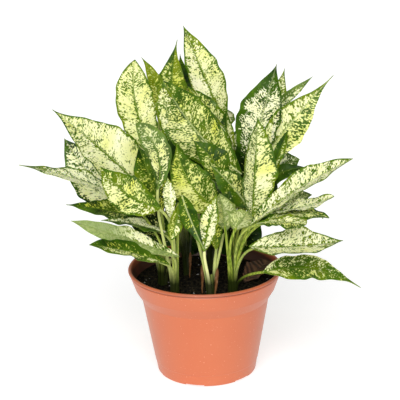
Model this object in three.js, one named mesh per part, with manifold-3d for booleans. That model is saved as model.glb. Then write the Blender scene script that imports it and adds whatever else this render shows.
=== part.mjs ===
// A spotted cream-and-green aroid house plant in its round terracotta-coloured nursery pot.
// Units are millimetres. +Z is up, and the origin is the middle of the pot's flat base.
// The front of the plant, with the two lowest leaves left and right, faces -Y.

import * as THREE from 'three';
import { mergeVertices } from 'three/addons/utils/BufferGeometryUtils.js';
import Module from 'manifold-3d';

const wasm = await Module();
wasm.setup();

// Driving dimensions

const GAP = 0.3;                 // clearance between pieces that touch

const POT_RADIUS = 75;           // outside of the rolled lip, a 15 cm pot
const POT_HEIGHT = 106.7;
const FOOT_RADIUS = 48;
const WALL = 1.3;
const FLOOR = 3;
const POT_SIDES = 48;
const NOTCHES = 6;               // shallow drain notches round the foot
const NOTCH_WIDTH = 19;
const NOTCH_HEIGHT = 2;
const NOTCH_FIRST_ANGLE = 255;   // degrees from +X, just left of the front
const DRAIN_SLOT = [7, 5];       // length round the foot and radial width of each drain slot

const SOIL_TOP = 92;
const STEM_FOOT = 62;            // height of the lower end of a stem, down in the soil
const STEM_HEIGHT = 34;          // how far a stem stands out of the soil
const STEM_RADIUS = 6;
const STEM_SIDES = 8;

const BLADE_THICKNESS = 0.9;
const BLADE_STATIONS = 8;        // sections along a blade
const WIDE_BLADE = 35;           // from this width up, a section has five points across
const WIDE_ACROSS = [-1, -0.5, 0, 0.5, 1];
const NARROW_ACROSS = [-1, 0, 1];
const BLADE_END = 0.035;         // half width left at both ends, as a share of the greatest
const BASE_FULLNESS = 0.75;      // the smaller, the rounder the blade's base
const TIP_POINTING = 2.4;         // the greater, the longer the blade stays wide before its drawn-out tip
const MARGIN_WAVE = 1.6;         // height of the waves along a blade's margins
const MARGIN_WAVES = 2.2;

const PETIOLE_RADIUS = 1.8;
const PETIOLE_SHEATH = 2.6;      // radius where a petiole leaves the stem
const PETIOLE_OFFSET = 3;        // how far from the stem's axis, towards its blade, a petiole starts
const PETIOLE_SIDES = 4;
const PETIOLE_STATIONS = 5;
const PETIOLE_INTO_BLADE = 0.12; // share of the blade that the petiole runs under as a midrib

// Colours

const TERRACOTTA = '#d9744f';
const PEAT = '#1d140d';
const LEAF_GREENS = ['#8fae4a', '#7fa23f', '#a3bf62', '#6f9a3a', '#b6cb7a', '#87a84a', '#98b556'];
const DRY_BROWN = '#4a3020';

// Outer profile of the pot from the foot up, as [radius, height], and the inner one back down

const POT_OUTSIDE = [
  [0, 0],
  [FOOT_RADIUS - 2, 0],
  [FOOT_RADIUS, 1],
  [50.2, 12],
  [50.8, 12.6],
  [62.2, 76.8],
  [63.5, 78.9],
  [68.4, 87],
  [73.4, 101.6],
  [72.7, 103.3],
  [74.8, 104.2],
  [POT_RADIUS, 105.4],
  [73.8, POT_HEIGHT],
];
const POT_INSIDE = [
  [72, 106.2],
  [70.6, 99],
  [68.2, 91.6],
  [66.9, 86.6],
  [62.2 - WALL, 76.6],
  [50.8 - WALL, 13.4],
  [49.2 - WALL, 6],
  [46.6, FLOOR],
  [0, FLOOR],
];

// Each shoot: where its stem enters the soil, and how far the stem leans by its top

const SHOOTS = [
  { foot: [-42, -12], lean: [3, 6] },
  { foot: [-28, -38], lean: [0, 1] },
  { foot: [6, -43], lean: [0, 1] },
  { foot: [24, -35], lean: [3, 0] },
  { foot: [-16, 12], lean: [-1, 4] },
  { foot: [25, 2], lean: [4, 4] },
  { foot: [8, 24], lean: [1, 4] },
];

// Each leaf: shoot, blade base, blade tip, width, direction of the upper face, how far the
// middle arches off the straight line towards that face and sideways, the angle that each
// half folds up by, and how finely the tip tapers.

const LEAVES = [
  // left side
  [1, [-41, 25, 211], [-63, 46, 303], 38, [0.25, -1, 0.15], 0.6, -11, 5, 0.94],
  [1, [-49, 7, 174], [-141, 8, 265], 58, [0.1, -0.6, 0.8], 6.5, -1.2, 19, 1.9],
  [1, [-71, 16, 152], [-133, 24, 232], 43, [0.2, -1, 0.4], 7.3, -4.6, 5, 1.31],
  [1, [-52, -10, 157], [-131, -10, 176], 32, [0, -0.3, 1], 3, 0, 8, 2],
  [2, [-71, -26, 185], [-171, -28, 222], 36, [0.1, -0.1, 1], 4, 0, 8, 2.2],
  [2, [-43, -41, 199], [-61, -33, 261], 27, [0.3, -1, 0.1], 0, 11, 29, 0.8],
  [2, [-40, -52, 185], [-93, -64, 230], 34, [0.1, -1, 0.6], 0, -7.2, 5, 1.46],
  [2, [-34, -36, 153], [-96, -40, 170], 20, [0, -0.1, 1], 3, 0, 10, 1.7],
  [2, [-24, -48, 135], [-123, -54, 175], 25, [0.1, -0.5, 1], 2.1, -1, 5, 1.29],
  [2, [-33, -60, 132], [-104, -92, 165], 24, [0, -0.4, 1], 0, 4.5, 12, 1.13],
  [1, [-40, -18, 169], [-60, -16, 234], 32, [0.2, -1, 0.3], 3, 0, 14, 1.4],
  [1, [-26, -14, 136], [-74, -14, 166], 42, [0.1, -0.7, 1], 3, 0, 12, 1.4],
  // upper middle
  [5, [-42, 46, 240], [-57, 51, 304], 18, [0.5, -1, 0.2], 1.8, 6.4, 12, 1.94],
  [5, [-27, 56, 234], [-22, 64, 318], 33, [-0.1, -1, 0.3], 4.2, -3.5, 15, 2.72],
  [5, [-18, 67, 228], [-20, 76, 301], 24, [0.3, -1, 0.2], 3, 0, 18, 1.9],
  [7, [-26, 20, 217], [-37, 24, 284], 20, [0.1, -1, 0.3], 3, -1, 12, 1],
  [7, [37, -1, 200], [-36, 24, 287], 50, [-0.45, -1, 0.3], 0, -7, 8, 1],
  [7, [22, 48, 238], [-16, 56, 333], 38, [0.15, -1, 0.35], 6.8, -1.8, 30, 1.55],
  [7, [23, 28, 212], [-13, 36, 278], 28, [0.1, -1, 0.3], 3, 3, 14, 1.4],
  [7, [31, 6, 185], [-7, 28, 269], 30, [0.1, -1, 0.3], 3, 0, 14, 1.4],
  [7, [25, 16, 200], [24, 22, 258], 22, [-0.3, -1, 0.2], 2, 0, 34, 1.6],
  [7, [27, 0, 185], [-9, 4, 233], 30, [0.3, -1, 0.6], 4, 2, 14, 1.6],
  [6, [43, -8, 168], [7, -12, 213], 26, [-0.2, -1, 0.6], 4, 2, 12, 1.7],
  [6, [40, 18, 169], [46, 26, 244], 28, [0, -1, 0.2], 3, 0, 14, 1.4],
  [5, [-31, 4, 164], [-31, 2, 236], 38, [0, -1, 0.2], 3, 0, 14, 1.4],
  [7, [2, 26, 180], [-25, 34, 227], 28, [0.1, -1, 0.3], 3, 0, 12, 1.2],
  // low on the right
  [4, [41, -54, 146], [128, -60, 152], 42, [0, -0.33, 1], 4.7, 10.2, 19, 1.46],
  [4, [54, -60, 122], [144, -68, 108], 36, [0.1, -0.38, 1], 4, -11, 5, 2.66],
  // lower middle
  [3, [18, -18, 169], [-24, -24, 239], 39, [0.05, -1, 0.5], 0, -11, 5, 1.88],
  [3, [-20, -40, 193], [1, -72, 148], 17, [-0.3, -0.8, 0.6], 5.7, 0.5, 17, 2.81],
  [3, [-1, -52, 141], [12, -53, 198], 19, [-0.25, -1, 0.3], 3.1, -0.2, 16, 1.6],
  [3, [14, -30, 149], [25, -22, 191], 22, [0, -1, 0.3], 2, 0, 12, 1.6],
  [4, [20, -43, 158], [15, -43, 195], 24, [0.2, 0.8, 0.3], 2, 0, 12, 1.4],
  [4, [28, -48, 160], [41, -54, 180], 26, [0.2, 0.6, 0.6], 3, 0, 12, 1.3],
  [2, [-31, -46, 173], [-33, -42, 211], 12, [0.1, -1, 0.2], 3, 0, 14, 1.2],
  [2, [-24, -44, 184], [-31, -60, 156], 13, [0.3, -1, 0.3], 4, 0, 10, 0.9],
  [3, [11, -34, 136], [9, -30, 181], 15, [0, -1, 0.2], 2, 0, 12, 1.2],
  [5, [-8, 50, 155], [-18, 50, 98], 40, [0, -1, 0.12], 2.4, 0, 10, 1],
  [7, [23, 40, 155], [25, 42, 100], 38, [0, -1, 0.15], 2, 0, 10, 1],
  // right side
  [6, [44, 12, 205], [72, 22, 301], 48, [-0.3, -1, 0.35], 9.8, 2.4, 27, 1.71],
  [6, [62, 50, 210], [82, 60, 288], 23, [0, -1, 0.2], 3, 0, 14, 1.9],
  [6, [58, 45, 240], [108, 44, 283], 11, [0, -1, 0.4], 4, 0, 18, 1.8],
  [6, [55, -6, 213], [125, 14, 291], 37, [0.05, -1, 0.4], 7.1, -2, 16, 3.15],
  [6, [58, -11, 188], [80, -12, 245], 11, [-0.4, -1, 0], 0.3, 0.6, 24, 1],
  [6, [45, -24, 161], [52, -18, 261], 41, [0.5, -1, 0.2], 4.8, -2.5, 30, 1.46],
  [6, [57, 22, 175], [101, 22, 198], 17, [0, -1, 0.8], 5.1, -5.5, 15, 2.09],
  [6, [58, 46, 186], [96, 50, 198], 26, [0, -1, 0.6], 4, 0, 12, 1.3],
  [4, [43, -46, 164], [139, -34, 223], 33, [-0.3, -0.3, 1], 4.1, -1.3, 21, 1.1],
  [6, [65, -4, 166], [104, -2, 178], 24, [0, -0.5, 1], 3, 0, 8, 1.3],
  [4, [50, -32, 174], [121, -40, 189], 20, [0, -0.15, 1], 0, 11, 13, 0.5],
  [4, [56, -54, 171], [115, -62, 175], 22, [0, -0.15, 1], 1.7, -8.9, 5, 1.05],
  [4, [48, -62, 171], [92, -84, 177], 18, [0.1, -0.4, 1], 0.3, -2.9, 5, 0.5],
  [6, [30, 16, 115], [54, 11, 150], 28, [0, -1, 0.3], 3, 0, 12, 1.2],
  [6, [53, 14, 144], [67, 16, 196], 26, [0, -1, 0.2], 3, 0, 12, 1.4],
  // back
  [1, [-66, 34, 176], [-132, 74, 190], 44, [0.4, -0.2, 1], 12, 0, 10, 1.7],
  [5, [-40, 66, 190], [-78, 134, 210], 46, [0.3, -0.5, 1], 12, 0, 10, 1.7],
  [7, [6, 72, 200], [14, 150, 226], 48, [0, -0.6, 1], 12, 0, 12, 1.6],
  [7, [34, 66, 190], [78, 128, 206], 46, [-0.3, -0.5, 1], 12, 0, 10, 1.7],
  [6, [72, 62, 168], [118, 108, 160], 42, [-0.4, -0.2, 1], 12, 0, 10, 1.7],
  [5, [-54, 48, 147], [-124, 88, 138], 44, [0.2, -0.1, 1], 16, 0, 8, 1.7],
  [5, [-22, 68, 146], [-44, 144, 136], 46, [0.1, -0.2, 1], 16, 0, 8, 1.7],
  [7, [16, 70, 146], [34, 148, 132], 46, [0, -0.2, 1], 16, 0, 8, 1.7],
  [6, [58, 44, 140], [122, 76, 126], 42, [-0.2, -0.1, 1], 14, 0, 8, 1.7],
  [7, [0, 82, 230], [-4, 116, 286], 38, [0, -1, 0.4], 8, 0, 12, 1.6],
];

// A withered leaf that has dropped on the soil and leans on the pot's wall, in the same form
const WITHERED_LEAF = [0, [38, -13, 93.4], [63, 20, 102.8], 27, [-0.35, -0.5, 1], 1.5, 0, 8, 0.7];

// Solids

// Makes a solid from rings that all have the same even number of points. The second half of
// each ring runs back under the first, and its squares are split along the same diagonals.
function loft(rings) {
  const size = rings[0].length;
  const half = size / 2;
  const points = rings.flat();
  const at = (ring, point) => ring * size + (point % size);
  const faces = [];
  for (let ring = 0; ring < rings.length - 1; ring++) {
    for (let point = 0; point < size; point++) {
      const a = at(ring, point);
      const b = at(ring, point + 1);
      const c = at(ring + 1, point + 1);
      const d = at(ring + 1, point);
      if (point < half) {
        faces.push([a, b, c], [a, c, d]);
      } else {
        faces.push([a, b, d], [b, c, d]);
      }
    }
  }
  const last = rings.length - 1;
  for (let point = 0; point < half - 1; point++) {
    const next = point + 1;
    const under = size - 1 - point;
    faces.push([at(0, point), at(0, under), at(0, under - 1)]);
    faces.push([at(0, point), at(0, under - 1), at(0, next)]);
    faces.push([at(last, point), at(last, next), at(last, under - 1)]);
    faces.push([at(last, point), at(last, under - 1), at(last, under)]);
  }
  return solidOf(points, faces);
}

function solidOf(points, faces) {
  const build = (triangles) => {
    const mesh = new wasm.Mesh({
      numProp: 3,
      vertProperties: new Float32Array(points.flatMap((p) => [p.x, p.y, p.z])),
      triVerts: new Uint32Array(triangles.flat()),
    });
    return new wasm.Manifold(mesh);
  };
  const solid = build(faces);
  return solid.volume() > 0 ? solid : build(faces.map(([a, b, c]) => [a, c, b]));
}

// The largest closed skin of a fused solid, which fills any hollow that the fusing sealed.
function outerBody(solid) {
  const [largest] = solid.decompose().sort((a, b) => b.volume() - a.volume());
  return largest;
}

function solidFromGeometry(geometry) {
  geometry.deleteAttribute('normal');
  geometry.deleteAttribute('uv');
  const merged = mergeVertices(geometry, 1e-4);
  const index = merged.index.array;
  const faces = [];
  for (let i = 0; i < index.length; i += 3) {
    const [a, b, c] = [index[i], index[i + 1], index[i + 2]];
    if (a !== b && b !== c && c !== a) {
      faces.push([a, b, c]);
    }
  }
  const place = merged.getAttribute('position');
  const points = Array.from({ length: place.count }, (_, i) => new THREE.Vector3().fromBufferAttribute(place, i));
  return solidOf(points, faces);
}

function geometryOf(solid) {
  const mesh = solid.getMesh();
  const geometry = new THREE.BufferGeometry();
  geometry.setAttribute('position', new THREE.BufferAttribute(mesh.vertProperties, 3));
  geometry.setIndex(new THREE.BufferAttribute(mesh.triVerts, 1));
  geometry.computeVertexNormals();
  return geometry;
}

function turned(profile, sides) {
  const outline = profile.map(([radius, height]) => new THREE.Vector2(radius, height));
  const lathe = new THREE.LatheGeometry(outline, sides);
  lathe.rotateX(Math.PI / 2);
  return solidFromGeometry(lathe);
}

function block(length, width, height, matrix) {
  const box = new THREE.BoxGeometry(length, width, height);
  box.applyMatrix4(matrix);
  return solidFromGeometry(box);
}

// Pot

function makePot() {
  let pot = turned([...POT_OUTSIDE, ...POT_INSIDE], POT_SIDES);
  for (let notch = 0; notch < NOTCHES; notch++) {
    const angle = THREE.MathUtils.degToRad(NOTCH_FIRST_ANGLE + (360 / NOTCHES) * notch);
    const turn = new THREE.Matrix4().makeRotationZ(angle);
    const edge = turn.clone().multiply(new THREE.Matrix4().makeTranslation(FOOT_RADIUS, 0, 0));
    const slot = turn.clone().multiply(new THREE.Matrix4().makeTranslation(FOOT_RADIUS - 6, 0, 0));
    pot = pot.subtract(block(10, NOTCH_WIDTH, 2 * NOTCH_HEIGHT, edge));
    pot = pot.subtract(block(DRAIN_SLOT[1], DRAIN_SLOT[0], 20, slot));
  }
  return pot;
}

// Soil

function makeSoil() {
  const wall = POT_INSIDE.filter(([radius, height]) => radius > 0 && height < SOIL_TOP).reverse();
  const side = wall.map(([radius, height]) => [radius - GAP, height + GAP]);
  const [topRadius] = POT_INSIDE.find(([, height]) => height < SOIL_TOP);
  const profile = [[0, FLOOR + GAP], ...side.slice(0, -1), [topRadius - GAP, SOIL_TOP], [0, SOIL_TOP + 1.5]];
  let soil = turned(profile, POT_SIDES);
  for (const shoot of SHOOTS) {
    soil = soil.subtract(makeStem(shoot, GAP));
  }
  return soil;
}

// Stems, petioles and blades

function stemPoint(shoot, height) {
  const share = (height - STEM_FOOT) / (SOIL_TOP + STEM_HEIGHT - STEM_FOOT);
  const x = shoot.foot[0] + shoot.lean[0] * share;
  const y = shoot.foot[1] + shoot.lean[1] * share;
  return new THREE.Vector3(x, y, height);
}

function circle(centre, radius, sides, across, up) {
  return Array.from({ length: sides }, (_, i) => {
    const angle = (2 * Math.PI * i) / sides;
    const point = centre.clone().addScaledVector(across, radius * Math.cos(angle));
    return point.addScaledVector(up, radius * Math.sin(angle));
  });
}

// A stem with clearance is the hole that it stands in.
function makeStem(shoot, clearance = 0) {
  const x = new THREE.Vector3(1, 0, 0);
  const y = new THREE.Vector3(0, 1, 0);
  const top = SOIL_TOP + STEM_HEIGHT;
  const sections = clearance > 0
    ? [[STEM_FOOT - clearance, STEM_RADIUS], [SOIL_TOP, STEM_RADIUS], [top, STEM_RADIUS]]
    : [[STEM_FOOT, STEM_RADIUS], [SOIL_TOP, STEM_RADIUS], [SOIL_TOP + 18, 5.2], [top - 4, 4], [top, 2]];
  return loft(sections.map(([height, radius]) => (
    circle(stemPoint(shoot, height), radius + clearance, STEM_SIDES, x, y)
  )));
}

function bladeOf([, base, tip, width, face, bow, sway, fold, taper]) {
  const start = new THREE.Vector3(...base);
  const end = new THREE.Vector3(...tip);
  const along = end.clone().sub(start).normalize();
  const up = new THREE.Vector3(...face);
  up.addScaledVector(along, -up.dot(along)).normalize();
  const side = along.clone().cross(up);
  const middle = start.clone().lerp(end, 0.5).addScaledVector(up, 2 * bow).addScaledVector(side, 2 * sway);
  const midrib = new THREE.QuadraticBezierCurve3(start, middle, end);
  return { midrib, up, width, fold: THREE.MathUtils.degToRad(fold), taper };
}

function bladeFrame(blade, t) {
  const along = blade.midrib.getTangent(t);
  const up = blade.up.clone().addScaledVector(along, -blade.up.dot(along)).normalize();
  return { centre: blade.midrib.getPoint(t), along, up, side: along.clone().cross(up) };
}

function halfWidth(blade, t) {
  const shape = (s) => s ** BASE_FULLNESS * (1 - s ** TIP_POINTING) ** blade.taper;
  const widest = (BASE_FULLNESS / (BASE_FULLNESS + TIP_POINTING * blade.taper)) ** (1 / TIP_POINTING);
  return (blade.width / 2) * Math.max(shape(t) / shape(widest), BLADE_END);
}

function bladePoint(blade, t, across) {
  const { centre, up, side } = bladeFrame(blade, t);
  const half = halfWidth(blade, t);
  const share = Math.abs(across);
  const wave = Math.sin(2 * Math.PI * MARGIN_WAVES * t + (across > 0 ? 1.4 : 0));
  const lift = half * share ** 1.3 * Math.sin(blade.fold) + MARGIN_WAVE * wave * share ** 2 * (2 * half / blade.width);
  return centre.addScaledVector(side, half * across * Math.cos(blade.fold)).addScaledVector(up, lift);
}

function makeBlade(blade) {
  const sectionPoints = blade.width < WIDE_BLADE ? NARROW_ACROSS : WIDE_ACROSS;
  const rings = [];
  for (let station = 0; station < BLADE_STATIONS; station++) {
    const t = station / (BLADE_STATIONS - 1);
    const { up } = bladeFrame(blade, t);
    const surface = sectionPoints.map((across) => bladePoint(blade, t, across));
    const upper = surface.map((p) => p.clone().addScaledVector(up, BLADE_THICKNESS / 2));
    const lower = surface.map((p) => p.clone().addScaledVector(up, -BLADE_THICKNESS / 2));
    rings.push([...upper, ...lower.reverse()]);
  }
  return loft(rings);
}

function makePetiole(shoot, blade, height) {
  const join = bladeFrame(blade, PETIOLE_INTO_BLADE);
  const end = join.centre.addScaledVector(join.up, -BLADE_THICKNESS);
  const axis = stemPoint(shoot, height);
  const outward = new THREE.Vector3(end.x - axis.x, end.y - axis.y, 0).setLength(PETIOLE_OFFSET);
  const start = axis.add(outward);
  const reach = start.distanceTo(end);
  const route = new THREE.CubicBezierCurve3(
    start,
    start.clone().add(new THREE.Vector3(0, 0, 0.5 * reach)),
    end.clone().addScaledVector(join.along, -0.35 * reach),
    end,
  );
  const rings = [];
  for (let station = 0; station < PETIOLE_STATIONS; station++) {
    const t = station / (PETIOLE_STATIONS - 1);
    const along = route.getTangent(t);
    const side = along.clone().cross(blade.up).normalize();
    const up = side.clone().cross(along);
    const radius = THREE.MathUtils.lerp(PETIOLE_SHEATH, PETIOLE_RADIUS, t);
    rings.push(circle(route.getPoint(t), radius, PETIOLE_SIDES, side, up));
  }
  return loft(rings);
}

function makeShoot(shoot, leaves) {
  let solid = makeStem(shoot);
  leaves.forEach((leaf, i) => {
    const blade = bladeOf(leaf);
    const height = SOIL_TOP + 6 + (STEM_HEIGHT - 12) * (i / leaves.length);
    solid = solid.add(makePetiole(shoot, blade, height)).add(makeBlade(blade));
  });
  return outerBody(solid);
}

// Assembly

const plant = new THREE.Group();

function addPiece(name, solid, colour, roughness) {
  const material = new THREE.MeshStandardMaterial({ color: colour, roughness, metalness: 0 });
  const mesh = new THREE.Mesh(geometryOf(solid), material);
  mesh.name = name;
  plant.add(mesh);
}

addPiece('pot', makePot(), TERRACOTTA, 0.5);
addPiece('soil', makeSoil(), PEAT, 0.95);
SHOOTS.forEach((shoot, i) => {
  const leaves = LEAVES.filter(([owner]) => owner === i + 1);
  addPiece(`shoot_${i + 1}`, makeShoot(shoot, leaves), LEAF_GREENS[i], 0.45);
});

addPiece('withered_leaf', makeBlade(bladeOf(WITHERED_LEAF)), DRY_BROWN, 0.8);

export default plant;
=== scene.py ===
# %% [markdown]
# # A speckled Chinese evergreen in its nursery pot
#
# The plant is an aroid with cream leaves that are flecked and edged in green. It grows from
# seven short stems in a soft plastic pot. Every solid of it already has its place and size in
# the frame, so this lesson gives each one its fine shape and its finish. Lengths are written
# in millimetres, because leaves and pots are thought of in millimetres, and one factor turns
# them to Blender's metres.

import math

import bmesh
import bpy
import numpy as np
from mathutils import Matrix, Vector


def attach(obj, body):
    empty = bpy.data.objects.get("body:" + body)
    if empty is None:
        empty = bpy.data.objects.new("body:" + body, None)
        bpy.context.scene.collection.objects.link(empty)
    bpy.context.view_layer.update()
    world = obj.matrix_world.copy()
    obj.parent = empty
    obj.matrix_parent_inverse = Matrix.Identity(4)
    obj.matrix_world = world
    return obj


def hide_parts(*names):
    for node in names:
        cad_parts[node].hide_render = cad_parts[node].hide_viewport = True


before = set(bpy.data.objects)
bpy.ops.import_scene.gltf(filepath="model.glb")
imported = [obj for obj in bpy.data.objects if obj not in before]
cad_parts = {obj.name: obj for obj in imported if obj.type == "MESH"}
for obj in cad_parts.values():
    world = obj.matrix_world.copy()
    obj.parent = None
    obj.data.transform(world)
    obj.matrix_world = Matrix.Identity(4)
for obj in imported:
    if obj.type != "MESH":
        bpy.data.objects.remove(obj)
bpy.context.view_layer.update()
MM = 0.001
print("solids in the frame:", ", ".join(sorted(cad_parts)))

# %% [markdown]
# ## Helpers
#
# A colour is written as the hex value that it has on a screen, and one function turns it to
# the linear light that a shader works in. One more function adds a node with its settings and
# links, and a few short ones name the steps that the finishes share, which keeps a material as
# a short list of what it does. Meshes are built from arrays of points, because every shape
# here follows a formula.


# %% Colours and shader nodes
def linear(hex_colour):
    channels = [int(hex_colour[i : i + 2], 16) / 255 for i in (1, 3, 5)]
    light = [c / 12.92 if c <= 0.04045 else ((c + 0.055) / 1.055) ** 2.4 for c in channels]
    return (*light, 1.0)


def add(tree, kind, inputs=None, **settings):
    node = tree.nodes.new(kind)
    for name, value in settings.items():
        setattr(node, name, value)
    for name, value in (inputs or {}).items():
        if isinstance(value, bpy.types.NodeSocket):
            tree.links.new(value, node.inputs[name])
        else:
            node.inputs[name].default_value = value
    return node


def new_finish(name, constants):
    finish = bpy.data.materials.new(name)
    finish.use_nodes = True
    shader = finish.node_tree.nodes["Principled BSDF"]
    for label, value in constants.items():
        shader.inputs[label].default_value = value
    return finish, finish.node_tree, shader


# A mix node has sockets of its own for each kind of value, and they are told apart by number.
FACTOR, VALUE_A, VALUE_B, COLOUR_A, COLOUR_B = 0, 2, 3, 6, 7
MIXED_VALUE, MIXED_COLOUR = 0, 2


def blend_colours(tree, share, first, second):
    pair = {FACTOR: share, COLOUR_A: first, COLOUR_B: second}
    return add(tree, "ShaderNodeMix", pair, data_type="RGBA").outputs[MIXED_COLOUR]


def noise(tree, place, grain, detail):
    """Noise with grains of about this width, in the unit of the place that it is given."""
    look = {"Vector": place, "Scale": 1 / grain, "Detail": detail}
    return add(tree, "ShaderNodeTexNoise", look).outputs["Fac"]


def calculate(tree, operation, *values, clamp=False):
    terms = dict(enumerate(values))
    return add(tree, "ShaderNodeMath", terms, operation=operation, use_clamp=clamp).outputs[0]


def remap(tree, value, span, onto=(0.0, 1.0)):
    """The value with one span stretched onto another, and held at its ends."""
    ends = {"From Min": span[0], "From Max": span[1], "To Min": onto[0], "To Max": onto[1]}
    return add(tree, "ShaderNodeMapRange", {"Value": value, **ends}).outputs["Result"]


def from_mesh(tree, label, output="Fac"):
    """What each point of the mesh carries under this label."""
    return add(tree, "ShaderNodeAttribute", attribute_name=label).outputs[output]


def three_from_mesh(tree, label):
    split = add(tree, "ShaderNodeSeparateXYZ", {0: from_mesh(tree, label, "Vector")})
    return [split.outputs[axis] for axis in "XYZ"]


def place_in_piece(tree, squeeze=None):
    """Where a point lies in its piece, in metres, squeezed in height where lines run upwards."""
    place = add(tree, "ShaderNodeTexCoord").outputs["Object"]
    if squeeze is None:
        return place
    look = {"Vector": place, "Scale": (1.0, 1.0, squeeze)}
    return add(tree, "ShaderNodeMapping", look).outputs["Vector"]


def paint(tree, shader, colour):
    tree.links.new(colour, shader.inputs["Base Color"])


def add_bump(tree, shader, height, strength, depth_mm):
    look = {"Height": height, "Strength": strength, "Distance": depth_mm * MM}
    relief = add(tree, "ShaderNodeBump", look)
    tree.links.new(relief.outputs["Normal"], shader.inputs["Normal"])


# %% Meshes from arrays
SHARP_EDGE = math.radians(48)


def unit(vectors):
    return vectors / np.linalg.norm(vectors, axis=-1, keepdims=True)


def bell(distance, reach):
    """1 at no distance, about a third at the reach, and soon nothing."""
    return np.exp(-((distance / reach) ** 2))


def make_piece(name, points, faces, finish, slot, values=None):
    """A piece in millimetres, smooth but for its sharp edges, that rides with the pot."""
    mesh = bpy.data.meshes.new(name)
    mesh.from_pydata((np.asarray(points) * MM).tolist(), [], faces)
    mesh.materials.append(finish)
    for label, data in (values or {}).items():
        kind, field = ("FLOAT_VECTOR", "vector") if data.ndim == 2 else ("FLOAT", "value")
        layer = mesh.attributes.new(label, kind, "POINT")
        layer.data.foreach_set(field, data.astype(np.float32).ravel())
    mesh.polygons.foreach_set("use_smooth", [True] * len(mesh.polygons))
    mesh.set_sharp_from_angle(angle=SHARP_EDGE)
    piece = bpy.data.objects.new(name, mesh)
    bpy.context.scene.collection.objects.link(piece)
    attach(piece, "root")
    return piece


def band_faces(rings, size):
    """Quads between rings of points."""
    faces = []
    for ring in range(rings - 1):
        low, high = ring * size, (ring + 1) * size
        for point in range(size):
            after = (point + 1) % size
            faces.append((low + point, low + after, high + after, high + point))
    return faces


def ring_faces(rings, size):
    """Faces of a closed skin over rings of points, with quads across both end rings."""
    faces = band_faces(rings, size)
    last = (rings - 1) * size
    for point in range(size // 2 - 1):
        across = size - 1 - point
        faces.append((point, across, across - 1, point + 1))
        faces.append((last + point, last + point + 1, last + across - 1, last + across))
    return faces


# %% [markdown]
# ## Camera
#
# The picture is taken with a long lens from a little above the rim of the pot. A long lens
# keeps the pot's sides nearly straight, and the view from above opens its rim to a slim
# ellipse. The camera leans by about a degree, so the pot's axis isn't quite upright. Its place
# reads from right to left: back from the target, then leant, then pitched, then to the plant.

# %% Camera
CAMERA_TARGET, CAMERA_DISTANCE, NEAREST_SEEN = Vector((-3.4, 0.0, 174.5)), 1350.0, 10.0
CAMERA_PITCH, CAMERA_ROLL, LENS = math.radians(18.5), math.radians(1.24), 126.6

camera = bpy.data.objects.new("camera", bpy.data.cameras.new("camera"))
bpy.context.scene.collection.objects.link(camera)
camera.matrix_world = (
    Matrix.Translation(CAMERA_TARGET * MM)
    @ Matrix.Rotation(math.pi / 2 - CAMERA_PITCH, 4, "X")
    @ Matrix.Rotation(-CAMERA_ROLL, 4, "Z")
    @ Matrix.Translation((0, 0, CAMERA_DISTANCE * MM))
)
camera.data.lens = LENS
camera.data.clip_start = NEAREST_SEEN * MM
bpy.context.scene.camera = camera
print("picture's width at the plant, mm:", round(camera.data.sensor_width / LENS * CAMERA_DISTANCE))

# %% [markdown]
# ## Light and floor
#
# The plant stands on white paper in a bright studio. A pale sky of one colour lights it from
# all sides, and a broad sun, as wide as a large soft box, gives the leaves a lit and a shaded
# side. The floor is a large white sheet that is just bright enough to run out to plain white,
# so only a soft shadow shows round the pot.

# %% Studio
SKY_STRENGTH, SUN_STRENGTH = 0.36, 3.1
SUN_WIDTH = math.radians(50)
SUN_TILT = (math.radians(57), 0.0, math.radians(-6))
WHITE, PAPER_GREY, PAPER_GLOW = linear("#FFFFFF"), linear("#C8C8C8"), 0.59
FLOOR_HALF = 6000.0

scene = bpy.context.scene
scene.view_settings.view_transform = "Standard"
scene.world = scene.world or bpy.data.worlds.new("studio")
scene.world.use_nodes = True
sky = scene.world.node_tree.nodes["Background"]
sky.inputs["Color"].default_value = WHITE
sky.inputs["Strength"].default_value = SKY_STRENGTH

sun = bpy.data.objects.new("sun", bpy.data.lights.new("sun", "SUN"))
sun.data.energy = SUN_STRENGTH
sun.data.angle = SUN_WIDTH
sun.rotation_euler = SUN_TILT
scene.collection.objects.link(sun)

paper_look = {"Roughness": 0.9, "IOR": 1.45, "Base Color": PAPER_GREY}
paper_light = {"Emission Color": WHITE, "Emission Strength": PAPER_GLOW}
paper, _, _ = new_finish("white_paper", {**paper_look, **paper_light})
corner_signs = ((-1, -1), (1, -1), (1, 1), (-1, 1))
floor_corners = [(x * FLOOR_HALF * MM, y * FLOOR_HALF * MM, 0) for x, y in corner_signs]
floor_mesh = bpy.data.meshes.new("floor")
floor_mesh.from_pydata(floor_corners, [], [(0, 1, 2, 3)])
floor_mesh.materials.append(paper)
floor = bpy.data.objects.new("floor", floor_mesh)
scene.collection.objects.link(floor)
print("sky and sun:", SKY_STRENGTH, SUN_STRENGTH)

# %% [markdown]
# ## The pot
#
# A nursery pot is blow or injection moulded in polypropylene that is coloured right through.
# Its wall is about a millimetre thick, and it stiffens itself with a stepped band, two thin
# beads and a rolled lip. All of it is round, so it could be a curve with the Screw modifier.
# Here the profile is turned by a short function, because each corner of a moulding has a
# radius, and a formula can round every corner of the profile at once.
#
# The profile is a list of radius and height. It runs from the middle of the foot up the
# outside, by the foot, the wall, the step, the band, the bead and the lip, and then down the
# inside to the middle of the floor.

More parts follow.
